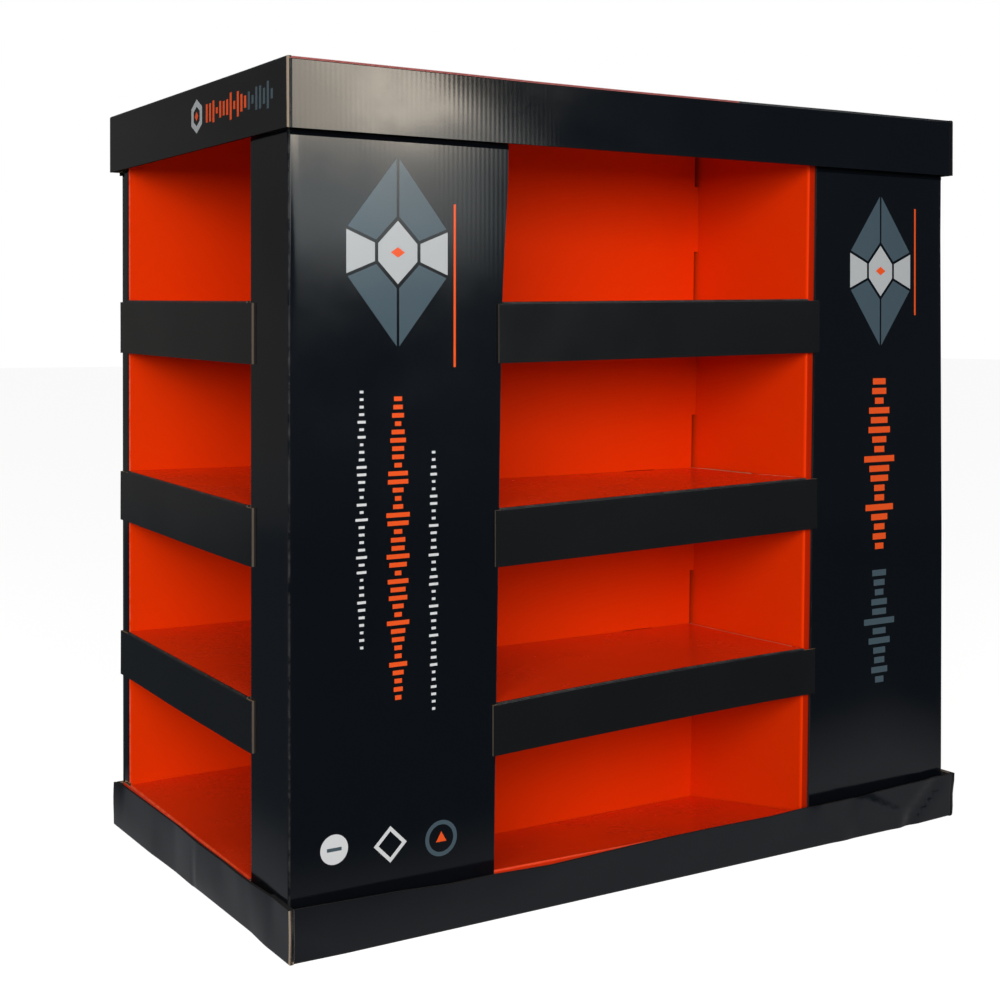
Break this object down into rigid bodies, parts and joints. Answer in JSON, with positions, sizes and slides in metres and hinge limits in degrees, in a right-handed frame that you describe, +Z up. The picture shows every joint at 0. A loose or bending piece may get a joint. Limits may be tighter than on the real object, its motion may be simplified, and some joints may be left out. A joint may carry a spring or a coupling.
{
  "type": "cardboard display stand",
  "caption": "Free-standing display stand folded from corrugated board, with open shelves on every side between hollow corner columns, a base tray and a cap.",
  "frame": {"origin": "centre of the footprint on the floor, under the base tray", "axes": "+X along the long front towards its right end, +Y from the front to the rear, +Z up"},
  "size_m": [1.016, 0.61, 0.992],
  "materials": {
    "black_printed_board": "black print with a gloss coat on corrugated board, plain brown inside and on cut edges",
    "orange_printed_board": "orange print with a gloss coat on corrugated board, plain brown inside and on cut edges",
    "black_shelf_board": "black fascia, the shelf's top printed orange",
    "orange_floor_board": "orange print with a gloss coat on corrugated board"
  },
  "bodies": {
    "root": {"base_tray": "black_printed_board", "bay_wall_front": "orange_printed_board", "bay_wall_left": "orange_printed_board", "bay_wall_rear": "orange_printed_board", "bay_wall_right": "orange_printed_board", "cap": "black_printed_board", "column_front_left": "black_printed_board", "column_rear_right": "black_printed_board", "divider_left": "orange_printed_board", "divider_right": "orange_printed_board", "floor_front": "orange_floor_board", "floor_left": "orange_floor_board", "floor_rear": "orange_floor_board", "floor_right": "orange_floor_board", "post_front_right": "black_printed_board", "post_rear_left": "black_printed_board", "shelf_front_low": "black_shelf_board", "shelf_front_middle": "black_shelf_board", "shelf_front_top": "black_shelf_board", "shelf_left_low": "black_shelf_board", "shelf_left_middle": "black_shelf_board", "shelf_left_top": "black_shelf_board", "shelf_rear_low": "black_shelf_board", "shelf_rear_middle": "black_shelf_board", "shelf_rear_top": "black_shelf_board", "shelf_right_low": "black_shelf_board", "shelf_right_middle": "black_shelf_board", "shelf_right_top": "black_shelf_board"}
  },
  "joints": []
}
